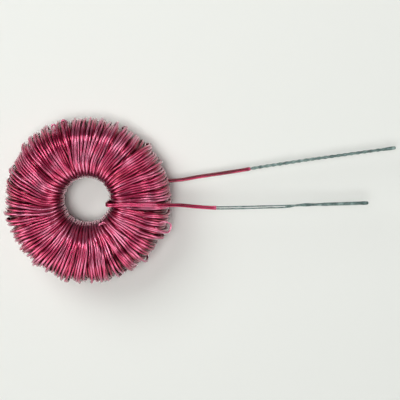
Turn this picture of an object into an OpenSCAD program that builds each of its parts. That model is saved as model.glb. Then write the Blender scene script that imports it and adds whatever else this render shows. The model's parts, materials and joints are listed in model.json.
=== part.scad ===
// Toroidal inductor lying flat: a pressed ring core under a thick winding of two parallel
// enamelled wires, with both ends of the pair brought out to one side as tinned leads.
// The origin is the centre of the ring, +Z is the ring's axis and the leads run towards +X.

/* [Core] */
// Outer diameter of the pressed ring core
core_od = 33; // [30:0.5:40]
// Inner diameter of the pressed ring core
core_id = 19.8; // [16:0.1:24]
// Height of the core along its axis
core_h = 11.1; // [9:0.1:15]
// Radius pressed on the core's four edges
core_edge_r = 1.2; // [0.4:0.1:2.5]

/* [Winding] */
// Thickness of the turns outside the core's rim
rim_build = 3.5; // [2.5:0.1:5]
// Thickness of the turns inside the core's hole
hole_build = 4.3; // [2.5:0.1:5]
// Thickness of the turns on each flat face of the core
face_build = 3.2; // [2.6:0.1:5]
// Radius of the winding's shoulder at the rim
rim_shoulder_r = 5.5; // [3:0.1:6]
// Radius of the winding's shoulder at the hole
hole_shoulder_r = 3.5; // [3:0.1:5]
// Clearance between the core and the turns wound on it
core_gap = 0.05; // [0.02:0.01:0.2]

/* [Wire] */
// Diameter of one wire over its enamel
wire_d = 0.45; // [0.3:0.01:0.6]
// Thickness of the enamel, which is stripped from the tinned ends
enamel_t = 0.025; // [0.01:0.005:0.05]
// Gap between the two wires of a lead
pair_gap = 0.05; // [0.04:0.01:0.1]
// Clearance round the pair where it comes out of the winding
seat_gap = 0.06; // [0.03:0.01:0.15]
// Thickness of solder round the two wires at a fused tip
solder_skin = 0.02; // [0.02:0.01:0.1]

/* [Start lead] */
// Enamelled length beyond the rim
start_enamel_len = 19.8; // [5:0.1:30]
// Straight length of the fused tip, without its round end
start_tip_len = 4.5; // [2:0.1:8]
// Distance beyond the rim at which the pair begins to be twisted
start_twist_from = 18; // [12:0.5:19.5]
// Length of lead that makes one full twist of the pair
start_twist_pitch = 6; // [5:0.5:12]
// Depth of the seat in the rim
start_seat_depth = 2; // [1:0.1:2.5]

/* [Finish lead] */
// Enamelled length beyond the rim
finish_enamel_len = 10.8; // [5:0.1:25]
// Straight length of the fused tip, without its round end
finish_tip_len = 11.5; // [3:0.1:15]
// Distance beyond the rim at which the single twist starts
finish_twist_from = 27; // [15:0.5:28]
// Length of lead that the single twist takes
finish_twist_len = 7.5; // [6:0.5:10]
// Distance from the hole's wall to the middle of the seat
finish_seat_inset = 2.1; // [1.5:0.1:2.4]
// Depth of the seat below the lead's first free point
finish_seat_depth = 1.4; // [1:0.1:1.6]

/* [Hidden] */
$fn = 96;
rim_r = core_od / 2 + rim_build;
hole_r = core_id / 2 - hole_build;
face_z = core_h / 2 + face_build;
wire_r = wire_d / 2;
bare_r = wire_r - enamel_t;
pair_r = wire_r + pair_gap / 2;
seat_r = pair_r + wire_r + seat_gap;
tip_r = pair_r + bare_r + solder_skin;
// A strand has this many sides, and a ring about every step
strand_sides = 8;
ring_step = 0.75;

// Where the start lead leaves the rim, and its free points as distances beyond that place
start_y = 4.4;
start_z = -2.5;
start_rim_x = sqrt(rim_r * rim_r - start_y * start_y);
start_free = [[0, 0, 0], [3.2, 0.3, 0.1], [7.1, 1, 0.3], [11.7, 1.7, 0.5], [16.8, 2.5, 0.8],
    [22.5, 3.5, 1], [28.3, 4.4, 1.3], [34, 5.3, 1.6], [39.7, 6.1, 1.8], [45.6, 6.95, 2.1],
    [49.5, 7.504, 2.3]];
start_route = concat([[start_rim_x - start_seat_depth, start_y, start_z]],
    [for (p = start_free) [start_rim_x, start_y, start_z] + p]);
start_turn = function (p) 360 * max(0, p.x - start_rim_x - start_twist_from) / start_twist_pitch;

// Height of the winding's upper surface at a distance x from the axis
function face_height(x) =
    let (from_hole = hole_r + hole_shoulder_r - x, from_rim = x - rim_r + rim_shoulder_r)
    x > rim_r ? 0
        : from_rim > 0 ? face_z - rim_shoulder_r + sqrt(rim_shoulder_r ^ 2 - from_rim ^ 2)
        : from_hole > 0 ? face_z - hole_shoulder_r + sqrt(hole_shoulder_r ^ 2 - from_hole ^ 2)
        : face_z;
// A point of a lead, lifted clear of the winding if it lies in it
function clear_of_turns(p) = [p.x, p.y, max(p.z, face_height(p.x) + wire_r + pair_gap)];

// The finish lead rises out of the shoulder at the hole, lies over the face and leaves over the rim
finish_x = hole_r + finish_seat_inset;
finish_mouth_depth = 0.25;
finish_z = face_height(finish_x) - finish_mouth_depth;
finish_rise = [[0.4, 0, 0.6], [1.5, -0.05, 0.85]];
// Points over the face and the rim as distances from the rim's radius and the face
finish_free = [[-8.2, -0.15, 0.3], [-5, -0.2, 0.26], [-2.3, -0.3, -0.12], [0.2, -0.3, -0.7],
    [2.8, -0.4, -1.2], [6.5, -0.8, -1.7], [10.8, -1.1, -2.1], [16, -1.1, -2.5],
    [21.6, -1, -2.9], [27.1, -0.9, -3.3], [30.9, -0.6, -3.6], [34.9, -0.5, -3.8]];
finish_route = concat([[finish_x, 0, finish_z - finish_seat_depth], [finish_x, 0, finish_z]],
    [for (p = finish_rise) clear_of_turns([finish_x, 0, finish_z] + p)],
    [for (p = finish_free) clear_of_turns([rim_r, 0, face_z] + p)]);
finish_turn = function (p) 360 * ease((p.x - rim_r - finish_twist_from) / finish_twist_len);

// A value that goes smoothly from 0 to 1 and stays there
function ease(t) = let (u = min(max(t, 0), 1)) u * u * (3 - 2 * u);

function unit(v) = v / norm(v);

// Point and direction on a smooth curve through a route, a share t of the way past point i
function curve_point(route, i, t) =
    let (a = route[max(i - 1, 0)], b = route[i], c = route[i + 1],
        d = route[min(i + 2, len(route) - 1)])
    0.5 * (2 * b + (c - a) * t + (2 * a - 5 * b + 4 * c - d) * t * t
        + (3 * b - a - 3 * c + d) * t * t * t);
function curve_direction(route, i, t) =
    let (a = route[max(i - 1, 0)], b = route[i], c = route[i + 1],
        d = route[min(i + 2, len(route) - 1)])
    unit((c - a) + 2 * (2 * a - 5 * b + 4 * c - d) * t
        + 3 * (3 * b - a - 3 * c + d) * t * t);

// Direction of the last stretch of a route, which the fused tip continues
function end_direction(route) = unit(route[len(route) - 1] - route[len(route) - 2]);

// Points with their directions all along a route, about one ring_step apart
function stations(route) = concat(
    [for (i = [0:len(route) - 2])
        let (steps = max(1, ceil(norm(route[i + 1] - route[i]) / ring_step)))
        for (k = [0:steps - 1])
            [curve_point(route, i, k / steps), curve_direction(route, i, k / steps)]],
    [[route[len(route) - 1], end_direction(route)]]);

// One ring of a strand: side is 1 or -1, turn is the pair's angle about the route
function strand_ring(station, side, turn, r) =
    let (along = station[1], across = unit([0, 1, 0] - along.y * along),
        up = cross(along, across),
        middle = station[0] + side * pair_r * (cos(turn) * across + sin(turn) * up))
    [for (k = [0:strand_sides - 1]) let (a = 360 * (k + 0.5) / strand_sides)
        middle + r * (cos(a) * across + sin(a) * up)];

// One wire of a lead, swept along its route and thinner where its enamel is stripped
module strand(route, side, turn, bare_x) {
    line = stations(route);
    rings = len(line);
    points = [for (s = line) each strand_ring(s, side, turn(s[0]), s[0].x < bare_x ? wire_r : bare_r)];
    walls = [for (i = [0:rings - 2]) for (k = [0:strand_sides - 1])
        let (n = (k + 1) % strand_sides, a = i * strand_sides, b = a + strand_sides)
        each [[a + k, b + n, a + n], [a + k, b + k, b + n]]];
    first = [for (k = [0:strand_sides - 1]) k];
    last = [for (k = [strand_sides - 1:-1:0]) (rings - 1) * strand_sides + k];
    polyhedron(points, concat([first], walls, [last]));
}

// Fused tip: a straight pin with a round end, standing on the end of a route
module tip(route, straight_len) {
    along = end_direction(route);
    translate(route[len(route) - 1])
        rotate([0, acos(along.z), atan2(along.y, along.x)])
            rotate_extrude() {
                square([tip_r, straight_len]);
                translate([0, straight_len])
                    intersection() {
                        circle(tip_r);
                        square(tip_r);
                    }
            }
}

// Half section of a ring with a round edge at its hole and another at its rim
module ring_section(inner, outer, half_h, inner_edge, outer_edge) {
    translate([inner + inner_edge, -half_h])
        square([outer - outer_edge - inner - inner_edge, 2 * half_h]);
    translate([inner, inner_edge - half_h])
        square([inner_edge, 2 * (half_h - inner_edge)]);
    translate([outer - outer_edge, outer_edge - half_h])
        square([outer_edge, 2 * (half_h - outer_edge)]);
    for (s = [-1, 1]) {
        translate([inner + inner_edge, s * (half_h - inner_edge)])
            circle(inner_edge);
        translate([outer - outer_edge, s * (half_h - outer_edge)])
            circle(outer_edge);
    }
}

// Pressed powder ring
module core() {
    color("dimgray")
        rotate_extrude()
            ring_section(core_id / 2, core_od / 2, core_h / 2, core_edge_r, core_edge_r);
}

// All the turns as one body, hollow where the core sits, with a seat for each lead
module winding() {
    color("palevioletred")
        difference() {
            rotate_extrude()
                difference() {
                    ring_section(hole_r, rim_r, face_z, hole_shoulder_r, rim_shoulder_r);
                    ring_section(core_id / 2 - core_gap, core_od / 2 + core_gap,
                        core_h / 2 + core_gap, core_edge_r + core_gap, core_edge_r + core_gap);
                }
            translate([start_rim_x - start_seat_depth, start_y, start_z])
                rotate([0, 90, 0])
                    cylinder(h = 2 * start_seat_depth, r = seat_r);
            translate([finish_x, 0, finish_z - finish_seat_depth])
                cylinder(h = 2 * finish_seat_depth, r = seat_r);
        }
}

module start_lead_a() {
    color("palevioletred")
        strand(start_route, 1, start_turn, start_rim_x + start_enamel_len);
}

module start_lead_b() {
    color("palevioletred")
        strand(start_route, -1, start_turn, start_rim_x + start_enamel_len);
}

module finish_lead_a() {
    color("palevioletred")
        strand(finish_route, 1, finish_turn, rim_r + finish_enamel_len);
}

module finish_lead_b() {
    color("palevioletred")
        strand(finish_route, -1, finish_turn, rim_r + finish_enamel_len);
}

module start_lead_tip() {
    color("lightslategray")
        tip(start_route, start_tip_len);
}

module finish_lead_tip() {
    color("lightslategray")
        tip(finish_route, finish_tip_len);
}

core();
winding();
start_lead_a();
start_lead_b();
finish_lead_a();
finish_lead_b();
start_lead_tip();
finish_lead_tip();
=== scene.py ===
# %% [markdown]
# # A wound ring inductor
# The object is a coil: a pressed ring of magnetic powder, hidden under several layers of thin enamelled
# copper wire, with the two ends of the winding brought out to the right. Two wires are wound side by
# side, as one pair. The construction comes as a fixed frame in metres, with +Z along the ring's axis.
# This file gives it its looks: every turn of wire, the twisted leads, the solder, the finishes and the
# studio.

# %% Load the frame
import json
import math

import bmesh
import bpy
import numpy as np
from mathutils import Matrix, Vector


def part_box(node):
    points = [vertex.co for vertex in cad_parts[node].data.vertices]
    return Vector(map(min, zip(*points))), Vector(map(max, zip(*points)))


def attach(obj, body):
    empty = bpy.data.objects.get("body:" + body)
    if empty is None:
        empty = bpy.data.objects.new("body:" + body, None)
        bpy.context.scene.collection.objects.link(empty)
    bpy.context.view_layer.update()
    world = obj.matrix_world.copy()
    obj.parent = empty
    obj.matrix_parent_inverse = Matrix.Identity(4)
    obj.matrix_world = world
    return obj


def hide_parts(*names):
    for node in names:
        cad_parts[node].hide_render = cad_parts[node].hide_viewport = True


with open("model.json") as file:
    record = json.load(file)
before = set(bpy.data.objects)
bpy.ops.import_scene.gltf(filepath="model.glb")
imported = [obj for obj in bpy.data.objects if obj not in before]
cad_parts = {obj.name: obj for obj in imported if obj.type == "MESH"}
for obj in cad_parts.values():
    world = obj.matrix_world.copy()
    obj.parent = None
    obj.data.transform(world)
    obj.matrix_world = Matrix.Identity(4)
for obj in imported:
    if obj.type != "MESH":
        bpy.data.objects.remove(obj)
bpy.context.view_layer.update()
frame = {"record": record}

MM = 0.001

# %% [markdown]
# ## Sizes
# The frame already holds the sizes that matter: the ring of turns, its clear hole and its flat faces.
# They are read from it, in millimetres, because the wire is laid in millimetres and only turned into
# metres when a mesh is made. The wire's own sizes belong to this file too.

# %% Sizes of the winding and the wire
ring_low, ring_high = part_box("winding")
bore = next(m for m in frame["record"]["mounts"] if m["name"] == "centre_bore")
rim_r = ring_high[0] / MM
face_z = ring_high[2] / MM
hole_r = bore["dims"]["r_mm"]
wire_r = 0.225
turn_r = 0.28
print("rim", round(rim_r, 2), "hole", hole_r, "face", round(face_z, 2), "wire", 2 * wire_r)

# %% [markdown]
# ## The camera first
# The ring lies flat, and the camera looks almost straight down on it, leaning a few degrees so that a
# little of the hole's wall shows. A long lens keeps the ring round. It is made first because everything
# else is judged through it.

# %% Camera
view_width = 96
view_distance = 320
view_lean = math.radians(6.5)
target = Vector((27, 0, 0)) * MM
camera_data = bpy.data.cameras.new("camera")
camera_data.sensor_width = 36
camera_data.lens = camera_data.sensor_width * view_distance / view_width
camera = bpy.data.objects.new("camera", camera_data)
bpy.context.scene.collection.objects.link(camera)
away = Vector((0, math.sin(view_lean), math.cos(view_lean)))
camera.location = target + away * view_distance * MM
camera.rotation_euler = (-view_lean, 0, 0)
bpy.context.scene.camera = camera
print("camera lens", round(camera_data.lens), "mm at", view_distance, "mm")

# %% [markdown]
# ## A shared effect for the finishes
# Real surfaces are never one flat colour. A node group that several materials share gives a slow drift
# of tone over the piece and a finer unevenness, so each material only says how large they are. The
# group puts out a tone and a height, and the shader itself stays in each material.

# %% Shared node group
def uneven_group():
    """A group with the inputs Drift and Grain (sizes per metre) and the outputs Tone and Height."""
    group = bpy.data.node_groups.new("uneven", "ShaderNodeTree")
    group.interface.new_socket("Drift", in_out="INPUT", socket_type="NodeSocketFloat")
    group.interface.new_socket("Grain", in_out="INPUT", socket_type="NodeSocketFloat")
    group.interface.new_socket("Tone", in_out="OUTPUT", socket_type="NodeSocketFloat")
    group.interface.new_socket("Height", in_out="OUTPUT", socket_type="NodeSocketFloat")
    nodes, links = group.nodes, group.links
    entry = nodes.new("NodeGroupInput")
    leave = nodes.new("NodeGroupOutput")
    place = nodes.new("ShaderNodeTexCoord")
    for size, detail, out in (("Drift", 3, "Tone"), ("Grain", 2, "Height")):
        noise = nodes.new("ShaderNodeTexNoise")
        noise.inputs["Detail"].default_value = detail
        links.new(place.outputs["Object"], noise.inputs["Vector"])
        links.new(entry.outputs[size], noise.inputs["Scale"])
        links.new(noise.outputs["Fac"], leave.inputs[out])
    return group


uneven = uneven_group()
print("group", uneven.name, "with", len(uneven.nodes), "nodes")

# %% [markdown]
# ## Small helpers for materials
# Every finish here is one Principled shader, so the same few steps come back: make it, place the shared
# group, pick colours by a tone, and bend the light a little with a bump. Each gets a short function.

# %% Material helpers
def new_material(name, rough, metal, coat=0.0, coat_rough=0.1):
    """A material with its Principled shader, whose even numbers are set on its own sockets."""
    material = bpy.data.materials.new(name)
    material.use_nodes = True
    shader = material.node_tree.nodes["Principled BSDF"]
    shader.inputs["Roughness"].default_value = rough
    shader.inputs["Metallic"].default_value = metal
    shader.inputs["Coat Weight"].default_value = coat
    shader.inputs["Coat Roughness"].default_value = coat_rough
    return material, shader


def add_uneven(material, drift, grain=1000.0):
    """Places the shared group in a material and gives back its node."""
    node = material.node_tree.nodes.new("ShaderNodeGroup")
    node.node_tree = uneven
    node.inputs["Drift"].default_value = drift
    node.inputs["Grain"].default_value = grain
    return node


def add_ramp(material, source, stops):
    """Colours picked by a value: stops are (place, colour)."""
    ramp = material.node_tree.nodes.new("ShaderNodeValToRGB")
    while len(ramp.color_ramp.elements) < len(stops):
        ramp.color_ramp.elements.new(1.0)
    for element, (at, colour) in zip(ramp.color_ramp.elements, stops):
        element.position = at
        element.color = (*colour, 1.0)
    material.node_tree.links.new(source, ramp.inputs["Fac"])
    return ramp


def add_bump(material, shader, height, depth, strength):
    """A bump of the given depth in metres on the shader."""
    bump = material.node_tree.nodes.new("ShaderNodeBump")
    bump.inputs["Strength"].default_value = strength
    bump.inputs["Distance"].default_value = depth
    material.node_tree.links.new(height, bump.inputs["Height"])
    material.node_tree.links.new(bump.outputs["Normal"], shader.inputs["Normal"])


print("material helpers ready")

# %% [markdown]
# ## Enamelled wire
# The wire is copper under a clear enamel dyed pink-red, so it shines like metal and carries a second,
# sharper gloss from the enamel. A metallic shader in the dye's colour with a coat over it gives both.
# Each pass of wire has its own tone, kept in the mesh as an attribute, partly because the dye is never
# even and partly as painted shade and painted light: darker in the deeper layers, the hole and the free
# leads, paler where a lead lies on the ring.

# %% Enamel material
tone_share = 0.5


def toned(material, shared):
    """The tone kept in the mesh, scaled down, plus the shared drift."""
    tone = material.node_tree.nodes.new("ShaderNodeAttribute")
    tone.attribute_name = "tone"
    both = material.node_tree.nodes.new("ShaderNodeMath")
    both.operation = "MULTIPLY_ADD"
    both.inputs[1].default_value = tone_share
    material.node_tree.links.new(tone.outputs["Fac"], both.inputs[0])
    material.node_tree.links.new(shared.outputs["Tone"], both.inputs[2])
    return both.outputs["Value"]


def enamel_material():
    """Clear dyed enamel over copper, darker or paler by the tone of each pass, which holds both dye and
    painted shade.
    """
    material, shader = new_material("wire_enamel", rough=0.3, metal=0.82, coat=0.56, coat_rough=0.04)
    shared = add_uneven(material, drift=220.0)
    ramp = add_ramp(material, toned(material, shared), (
        (0.30, (0.11, 0.003, 0.014)), (0.55, (0.35, 0.013, 0.058)),
        (0.75, (0.46, 0.033, 0.108)), (1.0, (0.54, 0.15, 0.25))))
    material.node_tree.links.new(ramp.outputs["Color"], shader.inputs["Base Color"])
    return material


enamel = enamel_material()
print("made", enamel.name)

# %% [markdown]
# ## Bare ends and solder
# The stripped ends are dipped in solder, which dulls them to an uneven grey and leaves small lumps.
# The hidden core is a matt pressed powder.

# %% Solder and powder materials
def solder_material():
    """Dull grey solder, uneven in tone and slightly lumpy."""
    material, shader = new_material("tinned_copper", rough=0.35, metal=0.5)
    shared = add_uneven(material, drift=900.0, grain=2600.0)
    ramp = add_ramp(material, toned(material, shared), (
        (0.65, (0.05, 0.085, 0.078)), (0.82, (0.11, 0.17, 0.156)), (1.0, (0.23, 0.31, 0.29))))
    material.node_tree.links.new(ramp.outputs["Color"], shader.inputs["Base Color"])
    add_bump(material, shader, shared.outputs["Height"], depth=0.00004, strength=0.4)
    return material


def powder_material():
    """The matt, fine-grained powder of the hidden core."""
    material, shader = new_material("pressed_powder", rough=0.85, metal=0.0)
    shared = add_uneven(material, drift=160.0, grain=4200.0)
    ramp = add_ramp(material, shared.outputs["Tone"], (
        (0.35, (0.028, 0.028, 0.026)), (0.65, (0.055, 0.054, 0.05))))
    material.node_tree.links.new(ramp.outputs["Color"], shader.inputs["Base Color"])
    add_bump(material, shader, shared.outputs["Height"], depth=0.00005, strength=0.5)
    return material


solder = solder_material()
powder = powder_material()
core = bpy.data.objects["core"]
core.data.materials.clear()
core.data.materials.append(powder)
print("made", solder.name, "and", powder.name)

# %% [markdown]
# ## The winding's section
# Cut through the turns, the winding has a rounded, slightly crowned section: the wires pile up near
# the hole and thin out towards the rim. A superellipse with a different reach on each side of its
# crest draws that outline from a few numbers, with its crest a little nearer the hole than the rim. It
# is walked round in even steps, and each step keeps its outward direction, because the wire is laid at
# a height above or below this outline.

# %% Section outline
crest_r = 12.0
rim_squareness = 2.5
hole_squareness = 2.25
past_hole = 0.2
past_rim = 0.1
under_face = 0.1
fine_points = 4001


def section(steps):
    """Even points (distance from the axis, height) round the section, outward directions and girth."""
    around = np.pi - np.linspace(0, 2 * np.pi, fine_points)
    c, s = np.cos(around), np.sin(around)
    reach = np.where(c < 0, crest_r - hole_r + past_hole, rim_r + past_rim - crest_r)
    power = 2 / np.where(c < 0, hole_squareness, rim_squareness)
    shape = np.stack([crest_r + reach * np.sign(c) * np.abs(c) ** power,
                      (face_z - under_face) * np.sign(s) * np.abs(s) ** power], 1)
    walked = np.concatenate([[0], np.cumsum(np.linalg.norm(np.diff(shape, axis=0), axis=1))])
    at = np.linspace(0, walked[-1], steps, endpoint=False)
    points = np.stack([np.interp(at, walked, shape[:, i]) for i in (0, 1)], 1)
    along = np.roll(points, -1, 0) - np.roll(points, 1, 0)
    along /= np.linalg.norm(along, axis=1)[:, None]
    return points, np.stack([-along[:, 1], along[:, 0]], 1), walked[-1]


steps = 64
outline, outward, girth = section(steps)
print("one turn is", round(girth, 1), "mm long, in", steps, "steps")

# %% [markdown]
# ## How high the turns stand
# A coil looks real when each pass rests on the passes under it. So the wire is laid as a winder lays
# it. For every step round the section there is a profile of how high the turns already stand all round
# the ring, kept in narrow bins. A wire covers a few bins, its footprint, and its round back is the
# height it adds to each. A pass may slide sideways from its own line by a few small slides.

# %% Profiles, footprints and slides
bins = 2048
slide_step = 0.06
slide_count = 7
slides = np.arange(-slide_count, slide_count + 1) * slide_step
profile = np.zeros((steps, bins))
bin_width = 2 * np.pi * outline[:, 0] / bins
footprints = []
for width in bin_width:
    half = int(turn_r / width)
    spots = np.arange(-half, half + 1)
    footprints.append((spots, np.sqrt(turn_r ** 2 - (spots * width) ** 2)))
slide_bins = np.rint(slides[None, :] / bin_width[:, None]).astype(int)
print("profiles of", steps, "x", bins, "bins, slides up to", round(slides[-1], 2), "mm")

# %% [markdown]
# ## Laying one pass
# A new pass is dropped on the profile and slides sideways to where it can lie low. Sharp side steps and
# strays from its own line cost it something, and the cheapest path wins. The pass is then pulled taut
# over the hollows and added to the profile. Crossings, nests and gaps come out of this by themselves.

# %% Laying one pass
own_line_cost = 0.1
side_step_cost = 12.0
step_cost = side_step_cost * (slides[:, None] - slides[None, :]) ** 2


def rest_heights(centres):
    """Height at which the wire's middle would rest at each step, for each sideways slide."""
    heights = np.empty((steps, len(slides)))
    for j in range(steps):
        spots, cap = footprints[j]
        places = (centres[j] + slide_bins[j][:, None] + spots[None, :]) % bins
        heights[j] = (profile[j][places] + cap).max(1)
    return heights


def best_slides(heights, freedom, first):
    """The cheapest sideways path: low, near its own line, and without sharp side steps."""
    cost = heights + (slides[None, :] / freedom[:, None]) ** 2 * own_line_cost
    total = cost[0] + step_cost[first]
    chosen = np.empty((steps, len(slides)), int)
    for j in range(1, steps):
        through = total[:, None] + step_cost
        chosen[j] = through.argmin(0)
        total = through.min(0) + cost[j]
    path = np.empty(steps, int)
    path[-1] = total.argmin()
    for j in range(steps - 1, 0, -1):
        path[j - 1] = chosen[j, path[j]]
    return path


def eased(values):
    """Values on a line, smoothed by their two neighbours on each side, the nearer ones more."""
    padded = np.concatenate([values[:2], values, values[-2:]])
    return (padded[:-4] + 2 * padded[1:-3] + 3 * padded[2:-2] + 2 * padded[3:-1] + padded[4:]) / 9


def lay(angles, slack, freedom, taut, first):
    """Lays one pass along these angles round the ring, starting from the slide numbered first.

    Slack lifts it, freedom is how far it may slide at each step, and taut is how often it is pulled.
    It gives back the angles and heights as laid and the number of the last slide.
    """
    centres = np.rint(angles / (2 * np.pi) * bins).astype(int)
    heights = rest_heights(centres)
    path = best_slides(heights, freedom, first)
    lowest = heights[np.arange(steps), path]
    laid = lowest.copy()
    for _ in range(taut):
        laid[1:-1] = np.maximum(lowest[1:-1], 0.5 * (laid[:-2] + laid[2:]))
    laid = laid + slack
    shifts = eased(slides[path])
    for j in range(steps):
        spots, cap = footprints[j]
        places = (centres[j] + slide_bins[j, path[j]] + spots) % bins
        profile[j][places] = np.maximum(profile[j][places], laid[j] + cap)
    return angles + shifts / outline[:, 0], laid, path[-1]


print("a pass may choose from", len(slides), "slides at each step")

# %% [markdown]
# ## Chance, kept in hand
# Hand winding is uneven, but never wild: one turn is much like the next. So some of the chance is drawn
# for every turn by itself, and some is smoothed along the ring. A soft hump picks out one side of the
# ring, where the winding leans or is slack. The seed is fixed, so the coil is the same each time.

# %% Chance and places round the ring
random = np.random.default_rng(41)
# how far round the section each step is, from the hole over the face, the rim and the underside
share = np.arange(steps) / steps
# 0 at the hole and 1 at the rim
to_rim = 0.5 - 0.5 * np.cos(2 * np.pi * share)


def bell(distance, width):
    """1 in the middle, and falling off softly on both sides."""
    return np.exp(-((distance / width) ** 2))


def smooth_noise(count, spread):
    """Random values on a closed circle that change slowly, with a spread of about one."""
    raw = random.normal(size=count)
    reach = np.minimum(np.arange(count), count - np.arange(count))
    kernel = np.exp(-0.5 * (reach / spread) ** 2)
    smooth = np.real(np.fft.ifft(np.fft.fft(raw) * np.fft.fft(kernel)))
    return smooth / smooth.std()


def hump(angle, middle, width):
    """A soft hump round the circle: the angle is in radians, the middle and the width in degrees."""
    gap = (np.degrees(angle) - middle + 180) % 360 - 180
    return bell(gap, width)


print("the rim is reached at step", int(to_rim.argmax()), "of", steps)

# %% [markdown]
# ## Layer after layer
# The pair goes round the ring several times. Every turn moves on by the same angle, wanders a little,
# and leans one way or the other, as the hand that winds it does. On the left the outer layer leans
# most. Some passes are slack and stand proud at the rim, more of them at the far side. Only the last
# layers can be seen, so the earlier ones are a plain body under them.

# %% Winding the layers
turns = 60
layers = 3
pitch = 2 * np.pi / turns
freedom = 0.2 + 0.5 * (1 - to_rim)
pulls = 6
# leans of a turn at the rim, in degrees: from turn to turn, of the odd turn, at the left, at the right
layer_lean = 2.5
odd_lean = 3.0
odd_share = 0.3
left_lean = -13.0
right_lean = 5.0
# how far a pass wanders off its turn and waves along it, in degrees
line_wander = 0.4
line_wave = 0.3
# distances between the two wires of a pair, in the hole and at the rim, and the limits at the rim
hole_spacing = 0.3
rim_spacing = 0.95
spacing_change = 0.35
least_spacing = 0.52
most_spacing = 1.3
# a slack pass stands this proud of the rim, over this share of the turn
least_proud = 0.3
more_proud = 0.35
proud_width = 0.085


def pass_angles(start, lean, spacing_at_rim, wire):
    """The line of one pass round the ring before it is laid."""
    spacing = hole_spacing * (1 - to_rim) + spacing_at_rim * to_rim
    waves = np.radians(line_wave) * np.sin(2 * np.pi * (share * 2 + random.random()))
    angles = start + pitch * share + lean * to_rim + waves
    return angles + (wire - 0.5) * spacing / outline[:, 0]


def slackness(start):
    """How far one pass stands off the turns below, which is most where it is loose at the rim."""
    loose = 0.10 + 0.14 * hump(start, 112, 14)
    proud = (least_proud + more_proud * random.random()) * (random.random() < loose)
    middle = 0.5 - 0.10 * random.random()
    return (0.06 * random.random() + proud) * bell(share - middle, proud_width)


def wind_layer(layer):
    """Lays one trip round the ring of both wires. Returns for each wire its angles and heights."""
    start = np.arange(turns) * pitch
    lean = np.radians(layer_lean) * smooth_noise(turns, 3) * (-1) ** layer
    if layer == layers - 1:
        lean += np.radians(left_lean * hump(start, 160, 38) + right_lean * hump(start, 0, 20))
    lean += np.radians(odd_lean) * random.normal(size=turns) * (random.random(turns) < odd_share)
    spacing = np.clip(rim_spacing + spacing_change * smooth_noise(turns, 1.2), least_spacing, most_spacing)
    lean += np.radians(line_wander) * random.normal(size=turns)
    laid = {0: [], 1: []}
    first = {0: slide_count, 1: slide_count}
    for k in range(turns):
        for wire in (0, 1):
            angles = pass_angles(start[k], lean[k], spacing[k], wire)
            a, h, first[wire] = lay(angles, slackness(start[k]), freedom, pulls, first[wire])
            laid[wire].append((a, h))
    return laid


wound = [wind_layer(layer) for layer in range(layers)]
tops = np.percentile(profile, 90, axis=1)
print("layers stand", round(float(tops.min()), 2), "to", round(float(tops.max()), 2), "mm high")

# %% [markdown]
# ## From laid passes to points
# A laid wire is a line of angles and heights, which has to become points in space. In the hole a layer
# has far less room than at the rim, too little for its wires to lie in one row, so there the two wires
# of a pair blend into two nested rows, evenly spaced. Further out they lie as they were laid. The rest
# is what the hand and the table did: the turns pile up at the near side of the hole, spread below it,
# bulge at the rim beside the leads, and are pressed flat underneath, where the ring lies.

# %% Points along a wire
nest_from = 0.06
nest_fade = 0.48
row_depth = 0.42
row_jitter = 0.07
row_wander = np.radians(0.8)
hole_room = 0.15
rim_room = 0.45
near_pile = 0.2
low_spread = 1.5
lead_bulge = 0.45
roundings = 2


def ease(t):
    """Goes smoothly from 0 to 1 as t does, and stays there on either side."""
    u = np.clip(t, 0, 1)
    return u * u * (3 - 2 * u)


# 1 in the hole and 0 further out
nesting = 1 - ease((to_rim - nest_from) / nest_fade)


def in_rows(layer, wire, angles, heights):
    """Angles and heights blended into the wire's own even row where it passes through the hole."""
    passed = np.arange(turns * steps) / steps
    knots = np.arange(turns + 1)
    row = 2 * (layers - 1 - layer) + 1 - wire
    depth = np.interp(passed, knots, row_jitter * random.normal(size=turns + 1))
    depth += -turn_r - row_depth * row
    evenly = pitch * (passed + 0.5 * (wire - 0.5))
    evenly += np.interp(passed, knots, row_wander * random.normal(size=turns + 1))
    in_hole = np.tile(nesting, turns)
    return angles + (evenly - angles) * in_hole, heights + (depth - heights) * in_hole


def held_down(heights):
    """Heights bent softly, so that no wire stands far above the rest."""
    room = hole_room + rim_room * np.tile(to_rim, turns)
    over = np.maximum(heights + turn_r, 0)
    return heights - over + room * np.tanh(over / room)


def wire_points(layer, wire, every):
    """The points of one wire of one layer, in millimetres, keeping each every-th step."""
    laid = wound[layer][wire]
    angles = np.concatenate([a for a, h in laid])
    heights = np.concatenate([h for a, h in laid]) - np.tile(tops, turns)
    angles, heights = in_rows(layer, wire, angles, heights)
    ring = np.tile(outline, (turns, 1)) + np.tile(outward, (turns, 1)) * held_down(heights)[:, None]
    # piled up at the near side of the hole, spread below it, bulged beside the leads
    rimward = np.tile(to_rim, turns)
    piled = near_pile * hump(angles, 270, 42) * (1 - rimward) ** 3
    below = low_spread * ease(-ring[:, 1] / face_z) * (1 - rimward) ** 2
    bulged = lead_bulge * hump(angles, -8, 26) * rimward ** 6
    far = ring[:, 0] - piled + below + bulged
    # pressed flat underneath
    rise = np.maximum(ring[:, 1], turn_r - face_z)
    points = np.stack([far * np.cos(angles), far * np.sin(angles), rise], 1)
    for _ in range(roundings):
        points[1:-1] = 0.25 * points[:-2] + 0.5 * points[1:-1] + 0.25 * points[2:]
    return points[::every]


print("rows in the hole are", row_depth, "mm deep, and the wire", 2 * turn_r, "mm thick")

# %% [markdown]
# ## From points to a round wire
# A line of points gets its round section from a bevelled curve, which is then made a mesh: a curve
# keeps the tube's rings square to the wire at every bend with no extra work. The mesh also keeps a tone
# for each vertex. The vertices of a tube are in order, ring by ring, so a list of tones can follow them.

# %% Tubes
plain_tone = 0.6


def link(name, mesh, material):
    """A finished mesh as a smooth object with one material."""
    mesh.name = name
    mesh.shade_smooth()
    mesh.materials.clear()
    mesh.materials.append(material)
    piece = bpy.data.objects.new(name, mesh)
    bpy.context.scene.collection.objects.link(piece)
    return piece


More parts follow.
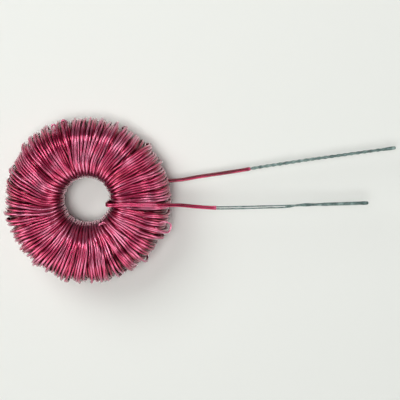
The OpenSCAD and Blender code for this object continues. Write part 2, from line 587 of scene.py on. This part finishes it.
def tube(name, lines, radius, sides, material, radii=None, tones=None):
    """A mesh object of round tubes, in metres, along lines of points in millimetres.

    Radii are shares of the radius for the points of each line. Tones gives a tone for each vertex.
    """
    curve = bpy.data.curves.new(name, "CURVE")
    curve.dimensions = "3D"
    curve.bevel_depth = radius * MM
    # a ring has four sides and two more for each step of the bevel
    curve.bevel_resolution = (sides - 4) // 2
    curve.use_fill_caps = True
    for i, line in enumerate(lines):
        spline = curve.splines.new("POLY")
        spline.points.add(len(line) - 1)
        spline.points.foreach_set("co", np.hstack([line * MM, np.ones((len(line), 1))]).ravel())
        if radii is not None:
            spline.points.foreach_set("radius", radii[i])
    shell = bpy.data.objects.new(name + "_curve", curve)
    mesh = bpy.data.meshes.new_from_object(shell)
    bpy.data.objects.remove(shell)
    bpy.data.curves.remove(curve)
    count = len(mesh.vertices)
    values = np.full(count, plain_tone) if tones is None else tones(count)
    mesh.attributes.new("tone", "FLOAT", "POINT").data.foreach_set("value", values.astype(np.float32))
    return link(name, mesh, material)


def settle(piece, slot, *nodes):
    """Puts a finished piece on the root body and hides the CAD nodes it stands for; slot, its finish, is
    not used.
    """
    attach(piece, "root")
    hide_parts(*nodes)
    triangles = sum(len(p.vertices) - 2 for p in piece.data.polygons)
    print("made", piece.name, "with", triangles, "triangles")


# %% [markdown]
# ## The turns that show
# The last layer is laid as two pieces, one for each wire of the pair, and the two layers under it show
# in the gaps, so they are simpler, and their tones are lower, a painted shade for the gaps. A tone that
# changes from pass to pass tells the wires apart. In the hole the second row is painted darker, a
# painted shade as little light reaches it, and the front row is painted a little paler, a painted light.

# %% Turns of the last three layers
def pass_tones(sides, ring_count, low, high, sunk):
    """A tone for each vertex that changes from pass to pass, and is darker by sunk in the hole as painted
    shade; a sunk below zero paints it paler instead.
    """
    def fill(count):
        passes = count // (sides * ring_count) + 2
        levels = low + (high - low) * random.random(passes)
        index = np.arange(count) / (sides * ring_count)
        darker = np.resize(np.repeat(sunk * nesting[::steps // ring_count], sides), count)
        return np.interp(index, np.arange(passes), levels) - darker
    return fill


def turns_of(name, layer, wires, sides, every, low, high, sunk=0.0):
    """The turns of one layer's wires as one piece, with tones between low and high."""
    lines = [wire_points(layer, wire, every) for wire in wires]
    tones = pass_tones(sides, steps // every, low, high, sunk)
    piece = tube(name, lines, turn_r, sides, enamel, tones=tones)
    settle(piece, "wire_enamel", "winding")


# painted shade: the lower tones of the two layers under the last and the darker back row in the hole; the
# paler front row in the hole is painted light
turns_of("outer_turns_a", layer=2, wires=(0,), sides=10, every=1, low=0.3, high=1.0, sunk=0.9)
turns_of("outer_turns_b", layer=2, wires=(1,), sides=10, every=1, low=0.3, high=1.0, sunk=-0.3)
turns_of("second_turns", layer=1, wires=(0, 1), sides=8, every=1, low=-0.15, high=0.2)
turns_of("third_turns", layer=0, wires=(0, 1), sides=6, every=2, low=-0.6, high=-0.3)

# %% [markdown]
# ## Under the last layers
# Deeper layers only show as darkness between wires. One turned body stands for them: the section,
# sunk by the height of the laid wires, is spun round the axis.

# %% Inner turns
inner_rise = 0.12
inner_segments = 180


def inner_turns():
    """The body of the deeper turns, a closed ring spun from the sunken section."""
    data = bmesh.new()
    ring = (outline - outward * (tops - inner_rise)[:, None])[::2]
    rows = [data.verts.new((r * MM, 0, z * MM)) for r, z in ring]
    edges = [data.edges.new((rows[i - 1], rows[i])) for i in range(len(rows))]
    bmesh.ops.spin(data, geom=rows + edges, cent=(0, 0, 0), axis=(0, 0, 1), dvec=(0, 0, 0),
                   angle=2 * math.pi, steps=inner_segments, use_merge=True, use_normal_flip=False,
                   use_duplicate=False)
    bmesh.ops.recalc_face_normals(data, faces=data.faces)
    mesh = bpy.data.meshes.new("inner_turns")
    data.to_mesh(mesh)
    data.free()
    return link("inner_turns", mesh, enamel)


# painted shade: the body carries no tone, so its dye comes out darker than the turns over it
settle(inner_turns(), "wire_enamel", "winding")

# %% [markdown]
# ## The leads
# Each end of the winding comes out as its pair of wires. The start lead comes out between the turns at
# the rim and is twisted from where it is stripped. The finish lead rises at the hole, lies over the
# face, drops over the rim and stays side by side until one twist near its end. A lead is a route, a
# smooth curve through a few points, with the two wires placed on opposite sides of it at an angle that
# grows along it. That angle is the twist.

# %% Lead routes
def smooth_route(points, step):
    """A Catmull-Rom curve through the points, sampled about every step millimetres."""
    points = np.array(points, float)
    padded = np.vstack([points[:1], points, points[-1:]])
    line = []
    for i in range(len(points) - 1):
        a, b, c, d = padded[i:i + 4]
        count = max(1, int(np.ceil(np.linalg.norm(c - b) / step)))
        for t in np.arange(count) / count:
            line.append(0.5 * (2 * b + (c - a) * t + (2 * a - 5 * b + 4 * c - d) * t ** 2
                               + (3 * b - a - 3 * c + d) * t ** 3))
    return np.vstack([line, points[-1:]])


def pair(route, turn, apart):
    """The two wires' lines on either side of a route, turned about it by an angle in degrees."""
    along = np.gradient(route, axis=0)
    along /= np.linalg.norm(along, axis=1)[:, None]
    across = np.array([0, 1, 0]) - along[:, 1:2] * along
    across /= np.linalg.norm(across, axis=1)[:, None]
    up = np.cross(along, across)
    angle = np.radians(turn)[:, None]
    offset = apart[:, None] * (np.cos(angle) * across + np.sin(angle) * up)
    return route + offset, route - offset


start_y = 4.4
start_z = -2.5
start_x = math.sqrt(rim_r ** 2 - start_y ** 2)
start_free = [[0, 0, 0], [3.2, 0.3, 0.1], [7.1, 1, 0.3], [11.7, 1.7, 0.5], [16.8, 2.5, 0.8],
              [22.5, 3.5, 1], [28.3, 4.4, 1.3], [34, 5.3, 1.6], [39.7, 6.1, 1.8], [45.6, 6.95, 2.1],
              [49.5, 7.504, 2.3], [54.7, 8.24, 2.57]]
start_points = [[start_x - 2, start_y, start_z]]
start_points += [[start_x + x, start_y + y, z + start_z] for x, y, z in start_free]
finish_free = [[-8.2, -0.15, 0.15], [-5, -0.2, 0.1], [-2.3, -0.3, -0.2], [0.2, -0.3, -0.7],
               [2.8, -0.4, -1.2], [6.5, -0.8, -1.7], [10.8, -1.1, -2.1], [16, -1.1, -2.5],
               [21.6, -1, -2.9], [27.1, -0.9, -3.3], [30.9, -0.6, -3.6], [34.9, -0.5, -3.8],
               [47.3, -0.19, -4.42]]
finish_points = [[hole_r + 0.3, 0, 0.5], [hole_r - 0.55, -0.2, 5.2], [hole_r - 0.45, -0.3, 7.6],
                 [hole_r + 1.1, -0.25, 8.8], [hole_r + 3.5, -0.1, 9.0]]
finish_points += [[rim_r + x, y, face_z + z] for x, y, z in finish_free]
start_route = smooth_route(start_points, 0.25)
finish_route = smooth_route(finish_points, 0.4)
print("start lead", len(start_route), "rings, finish lead", len(finish_route), "rings")

# %% [markdown]
# ## Enamelled and bare wires
# The enamel ends with a slightly swollen edge, where it was burnt back. Beyond it the wires are thinner
# and tinned, and a little lumpy. The tone changes where the lead leaves the ring and at the enamel's
# edge, as painted light and shade: paler on the ring, and set to an edge tone that damps the highlight at
# the enamel's edge.

# %% Wires of a lead
enamel_apart = 0.22
bare_inside = 0.5
swelling = 0.22
# painted light: a paler tone for a lead where it lies on the ring
painted_ring_tone = 0.55
lumpiness = 0.05
lump_count = 40


def ring_tones(values, sides):
    """A tone for each ring of a tube."""
    return lambda count: np.resize(np.repeat(values, sides), count)


def lead_wires(name, route, lumps, turn, enamel_x, bare_x, bare_apart, bare_thick, tones, painted_edge_tone):
    """The two wires of a lead, enamelled up to enamel_x and bare from there to bare_x."""
    x = route[:, 0]
    past = x - enamel_x
    # over 2 mm the wires change their distance, and the last 1 mm of the enamel is its swollen edge
    close = enamel_apart + (bare_apart - enamel_apart) * ease((past + 0.5) / 2)
    swell = 1 + swelling * bell(past + 0.4, 0.5)
    edge = bell(past + 0.5, 0.7)
    # 1 on the ring, and 0 from 1 mm inside the rim
    on_ring = 1 - ease((x - rim_r + 3) / 2)
    coated = past < 0
    bare = (past > -bare_inside) & (x < bare_x)
    for label, line, tone in zip("ab", pair(route, turn, close), tones):
        node = name + "_lead_" + label
        # painted light and shade: each wire's tone, paler on the ring, and an edge tone at the enamel's
        # edge that damps its highlight
        shade = tone + (painted_edge_tone - tone) * edge + (painted_ring_tone - tone) * on_ring
        piece = tube(node + "_enamelled", [line[coated]], wire_r, 12, enamel, [swell[coated]],
                     ring_tones(shade[coated], 12))
        settle(piece, "wire_enamel", node)
        piece = tube(node + "_bare", [line[bare]], bare_thick, 12, solder, [lumps[bare]])
        settle(piece, "tinned_copper", node)


print("enamelled wires lie", 2 * enamel_apart, "mm apart, middle to middle")

# %% [markdown]
# ## Solder
# Near each tip solder has run between the two wires and joins them, so there one lumpy rod with a
# rounded end takes over from the pair. Before that a thinner thread of solder fills the gap between the
# two wires.

# %% Solder of a lead
tip_r = 0.40
wires_in_tip = 1.5


def fused_tip(name, route, lumps, tip_x, end_x):
    """The rod that the two wires end in, with a small knob, a dark ring and a pale end."""
    x = route[:, 0]
    fused = (x > tip_x) & (x < end_x)
    left = end_x - x[fused]
    shape = ease((x[fused] - tip_x) / 1.5) * np.sqrt(np.clip(left / 0.35, 0.02, 1))
    knob = 1 + 0.12 * bell(left - 1.2, 0.5)
    thick = np.clip(shape * knob * (1 + 0.5 * (lumps[fused] - 1)), 0.1, 1.1)
    shade = plain_tone + 0.3 * bell(left, 0.5) - 0.4 * bell(left - 0.95, 0.3)
    piece = tube(name + "_tip", [route[fused]], tip_r, 14, solder, [thick], ring_tones(shade, 14))
    settle(piece, "tinned_copper", name + "_lead_tip")


def solder_thread(name, route, from_x, to_x, radius, first_share, growth):
    """Solder between a lead's two wires, which grows from a share of its size to the whole of it."""
    x = route[:, 0]
    filled = (x > from_x) & (x < to_x)
    size = first_share + (1 - first_share) * ease((x[filled] - from_x) / growth)
    piece = tube(name + "_lead_solder", [route[filled]], radius, 10, solder, [size])
    settle(piece, "tinned_copper", name + "_lead_a", name + "_lead_b")


print("a fused tip is", 2 * tip_r, "mm thick")

# %% [markdown]
# ## Both leads
# The start lead's twist begins just before its enamel ends and goes on evenly to the tip. The finish
# lead makes one slow turn, and its rod of solder is longer.

# %% Start and finish leads
start_twist_x = start_x + 19.0
start_twist_length = 3.1
finish_twist_x = rim_r + 26
finish_twist_length = 12.5
start_turn = 360 * np.maximum(start_route[:, 0] - start_twist_x, 0) / start_twist_length
finish_turn = 360 * ease((finish_route[:, 0] - finish_twist_x) / finish_twist_length)


def lead(name, route, turn, enamel_x, tip_x, end_x, bare_apart, bare_thick, tones, painted_edge_tone):
    """One lead as enamelled wires, bare wires and a fused tip."""
    x = route[:, 0]
    knots = np.linspace(x[0], x[-1], lump_count)
    lumps = 1 + lumpiness * np.interp(x, knots, random.normal(size=lump_count))
    lead_wires(name, route, lumps, turn, enamel_x, tip_x + wires_in_tip, bare_apart, bare_thick,
               tones, painted_edge_tone)
    fused_tip(name, route, lumps, tip_x, end_x)


# painted shade: the free leads' low tones, one wire of each pair darker than the other, as they mirror the
# dark room
lead("start", start_route, start_turn, enamel_x=start_x + 19.8, tip_x=start_x + 50.5,
     end_x=start_x + 54.4, bare_apart=0.2, bare_thick=0.185, tones=(-0.7, -0.15), painted_edge_tone=-0.5)
lead("finish", finish_route, finish_turn, enamel_x=rim_r + 11.0, tip_x=rim_r + 35.5,
     end_x=rim_r + 47, bare_apart=0.24, bare_thick=0.155, tones=(0.0, 0.35), painted_edge_tone=0.1)
solder_thread("start", start_route, start_x + 20.3, start_x + 52, radius=0.3, first_share=1, growth=1)
solder_thread("finish", finish_route, rim_r + 27, rim_r + 37.5, radius=0.31, first_share=0.2, growth=4)

# %% [markdown]
# ## Strays
# No winding is perfect. A few passes have sprung out of the rim as small open loops, and a short curl
# of wire lies at the near edge of the hole. A loop is a few points given by how far out, how far
# sideways and how high they are at one place on the ring.

# %% Stray loops
stray_r = 0.22


def even_tone(tone):
    """The same tone for every vertex."""
    return lambda count: np.full(count, tone)


def rim_loop(angle, half_width, reach):
    """A loop of wire that stands out of the rim at an angle round the ring, in degrees."""
    w = half_width
    local = np.array([[17.4, -0.5 * w, 6.6], [18.6, -w, 5.7], [reach - 0.4, -0.9 * w, 4.9],
                      [reach, 0, 4.4], [reach - 0.4, 0.9 * w, 4.2], [18.9, w, 4.9], [17.7, 0.4 * w, 6.2]])
    turn = math.radians(angle)
    across = np.array([-math.sin(turn), math.cos(turn), 0])
    out = np.array([math.cos(turn), math.sin(turn), 0])
    points = local[:, :1] * out + local[:, 1:2] * across + local[:, 2:] * np.array([0, 0, 1])
    return smooth_route(points, 0.3)


loops = [rim_loop(-17.5, 1.15, 20.95), rim_loop(105, 0.6, 20.1), rim_loop(112.5, 0.55, 19.9)]
curl = smooth_route([[3.3, -5.2, 6.9], [3.6, -4.7, 7.2], [3.9, -4.85, 7.3], [4.2, -4.4, 7.2],
                     [4.7, -4.7, 6.9]], 0.2)
piece = tube("stray_loops", loops + [curl], stray_r, 10, enamel, tones=even_tone(1.0))
settle(piece, "wire_enamel", "winding")

# %% [markdown]
# ## Studio
# The ring lies on a pale table, which is lit by two lights of its own. One stands almost overhead, so
# it also reaches down through the hole. The other is large and stands to the left and behind, so it
# leaves a soft shadow at the right. Shiny wire shows what it reflects, so the other lights are there
# only for that. The key, a small panel a little behind, gives every wire one bright streak. Low cards
# at the front and the sides give the rim its flat, even pink, and the room stays nearly dark, which
# draws the gaps between wires.

# %% Table
floor_z = ring_low[2]
table_half = 1.5
data = bmesh.new()
bmesh.ops.create_grid(data, x_segments=1, y_segments=1, size=table_half,
                      matrix=Matrix.Translation((0, 0, floor_z)))
floor_mesh = bpy.data.meshes.new("floor")
data.to_mesh(floor_mesh)
data.free()
table, table_shader = new_material("table", rough=0.7, metal=0.0)
table_shader.inputs["Base Color"].default_value = (0.80, 0.815, 0.775, 1)
table_shader.inputs["Specular IOR Level"].default_value = 0.0
floor = link("floor", floor_mesh, table)
print("table", 2 * table_half, "m wide, at", round(floor_z / MM, 2), "mm")

# %% Lights and room
def soft_light(name, wide, high, glow, lean, turn, distance, lights_table):
    """A rectangle in metres that faces the ring, and is seen by the table or by reflections only.

    Lean is its angle off the vertical. Turn is 0 behind the ring, 90 at the left, 180 in front.
    """
    lamp = bpy.data.lights.new(name, "AREA")
    lamp.shape = "RECTANGLE"
    lamp.size = wide
    lamp.size_y = high
    # in watts, so that glow is how bright its surface is, whatever its size
    lamp.energy = glow * math.pi * wide * high
    light = bpy.data.objects.new(name, lamp)
    lean, turn = math.radians(lean), math.radians(turn)
    direction = Matrix.Rotation(turn, 3, "Z") @ Vector((0, math.sin(lean), math.cos(lean)))
    light.location = direction * distance
    light.rotation_euler = direction.to_track_quat("Z", "Y").to_euler()
    light.visible_diffuse = lights_table
    light.visible_glossy = not lights_table
    bpy.context.scene.collection.objects.link(light)


soft_light("overhead", 0.3, 0.3, glow=18.0, lean=3, turn=60, distance=0.85, lights_table=True)
soft_light("window", 0.5, 0.5, glow=4.8, lean=42, turn=42, distance=0.85, lights_table=True)
soft_light("key", 0.45, 0.30, glow=7.5, lean=25, turn=6, distance=0.7, lights_table=False)
soft_light("front_card", 1.2, 0.6, glow=2.0, lean=62, turn=180, distance=0.6, lights_table=False)
soft_light("left_card", 0.6, 0.4, glow=3.9, lean=71, turn=98, distance=0.6, lights_table=False)
soft_light("right_card", 0.6, 0.4, glow=3.3, lean=71, turn=-100, distance=0.6, lights_table=False)
world = bpy.data.worlds.new("room")
bpy.context.scene.world = world
world.use_nodes = True
world.node_tree.nodes["Background"].inputs["Color"].default_value = (0.95, 1.0, 0.98, 1)
world.node_tree.nodes["Background"].inputs["Strength"].default_value = 0.04
bpy.context.scene.view_settings.view_transform = "Standard"
print("lights and room ready")
